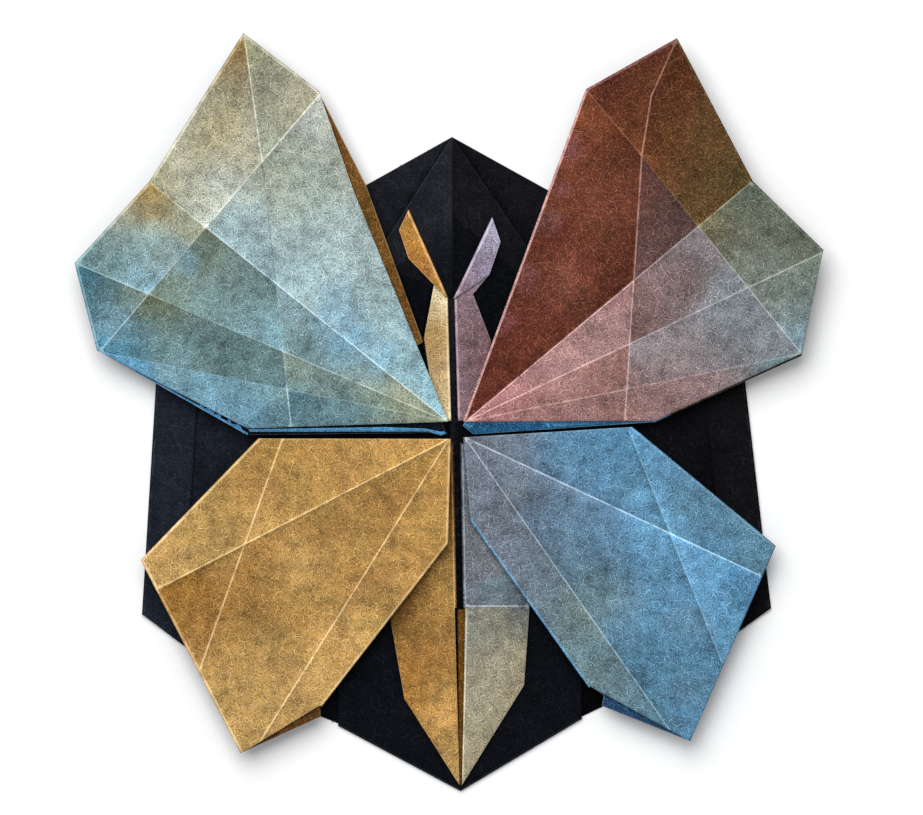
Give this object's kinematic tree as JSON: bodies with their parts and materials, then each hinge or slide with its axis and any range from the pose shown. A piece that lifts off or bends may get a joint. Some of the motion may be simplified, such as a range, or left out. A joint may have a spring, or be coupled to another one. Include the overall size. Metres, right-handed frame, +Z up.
{
  "type": "origami butterfly",
  "caption": "Butterfly folded from one sheet of mottled two-coloured craft paper, with wings, tails and antennae on a dark base plate.",
  "frame": {"origin": "on the resting plane, below the point where the wings, tails and antennae meet", "axes": "+Z up out of the front face, +Y from the meeting point towards the antennae"},
  "size_m": [0.1494, 0.1515, 0.0068],
  "materials": {
    "craft_paper": "matt, fibrous, mottled dye"
  },
  "bodies": {
    "root": {"folded_sheet": "craft_paper"}
  },
  "joints": []
}
